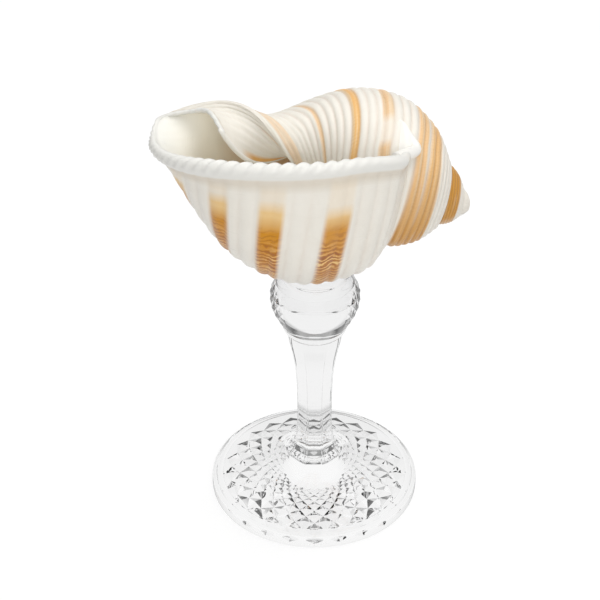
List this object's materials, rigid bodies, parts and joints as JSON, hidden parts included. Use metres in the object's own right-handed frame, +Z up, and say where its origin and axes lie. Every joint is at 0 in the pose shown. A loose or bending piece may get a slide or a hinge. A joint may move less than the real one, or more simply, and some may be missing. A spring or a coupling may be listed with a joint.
{
  "type": "tun shell cup on a glass stem",
  "caption": "Tun shell set mouth up as a cup, with ribbed banded whorls and a rope-like lip, cemented on a clear cut-glass stem with a round foot.",
  "frame": {"origin": "middle of the foot's flat underside", "axes": "+Z up along the glass stem, +X towards the shell's tip, -Y towards its outer lip"},
  "size_m": [0.1002, 0.0792, 0.1522],
  "materials": {
    "shell": "glossy cream shell with tan and brown bands",
    "glass": "clear cut glass",
    "cement": "clear cement"
  },
  "bodies": {
    "root": {"tun_shell": "shell", "glass_stem": "glass", "cement_seat": "cement"}
  },
  "joints": []
}
